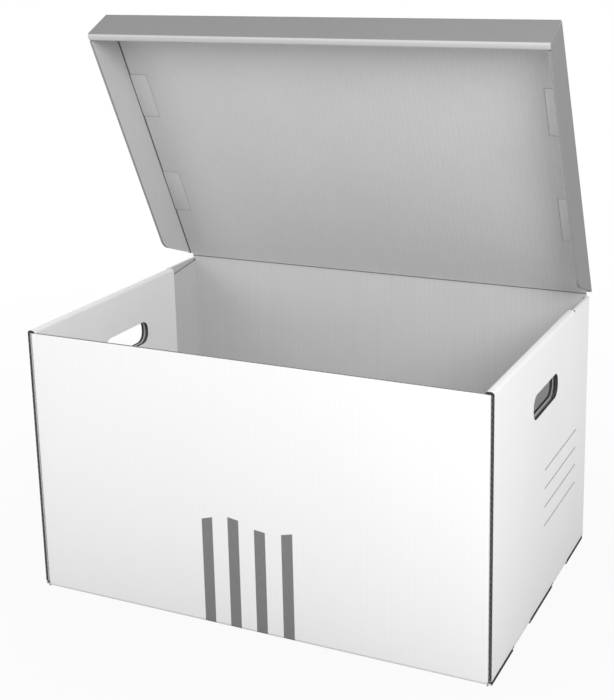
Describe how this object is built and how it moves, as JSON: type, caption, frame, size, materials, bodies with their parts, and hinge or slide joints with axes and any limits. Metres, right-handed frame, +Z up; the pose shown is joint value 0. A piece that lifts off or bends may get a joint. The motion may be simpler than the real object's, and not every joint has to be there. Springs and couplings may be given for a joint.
{
  "type": "archive storage box",
  "caption": "Large corrugated-board archive box with doubled sides, hand holes and a hinged flip-top lid with a deep skirt.",
  "frame": {"origin": "middle of the underside, on the surface that the box stands on", "axes": "+Z up, -Y to the front wall, +Y to the back wall that carries the lid crease, +X to the right side"},
  "size_m": [0.5534, 0.36, 0.6479],
  "materials": {
    "white_board": "matt white outer liner of corrugated board",
    "grey_board": "matt grey liner of corrugated board"
  },
  "bodies": {
    "box": {"box_body": "white_board"},
    "lid": {"lid": "grey_board"}
  },
  "joints": [
    {"name": "lid_hinge", "type": "hinge", "parent": "box", "child": "lid", "pos_m": [0, 0.18, 0.3158], "axis": [-1, 0, 0], "range_deg": [-64, 161]}
  ]
}
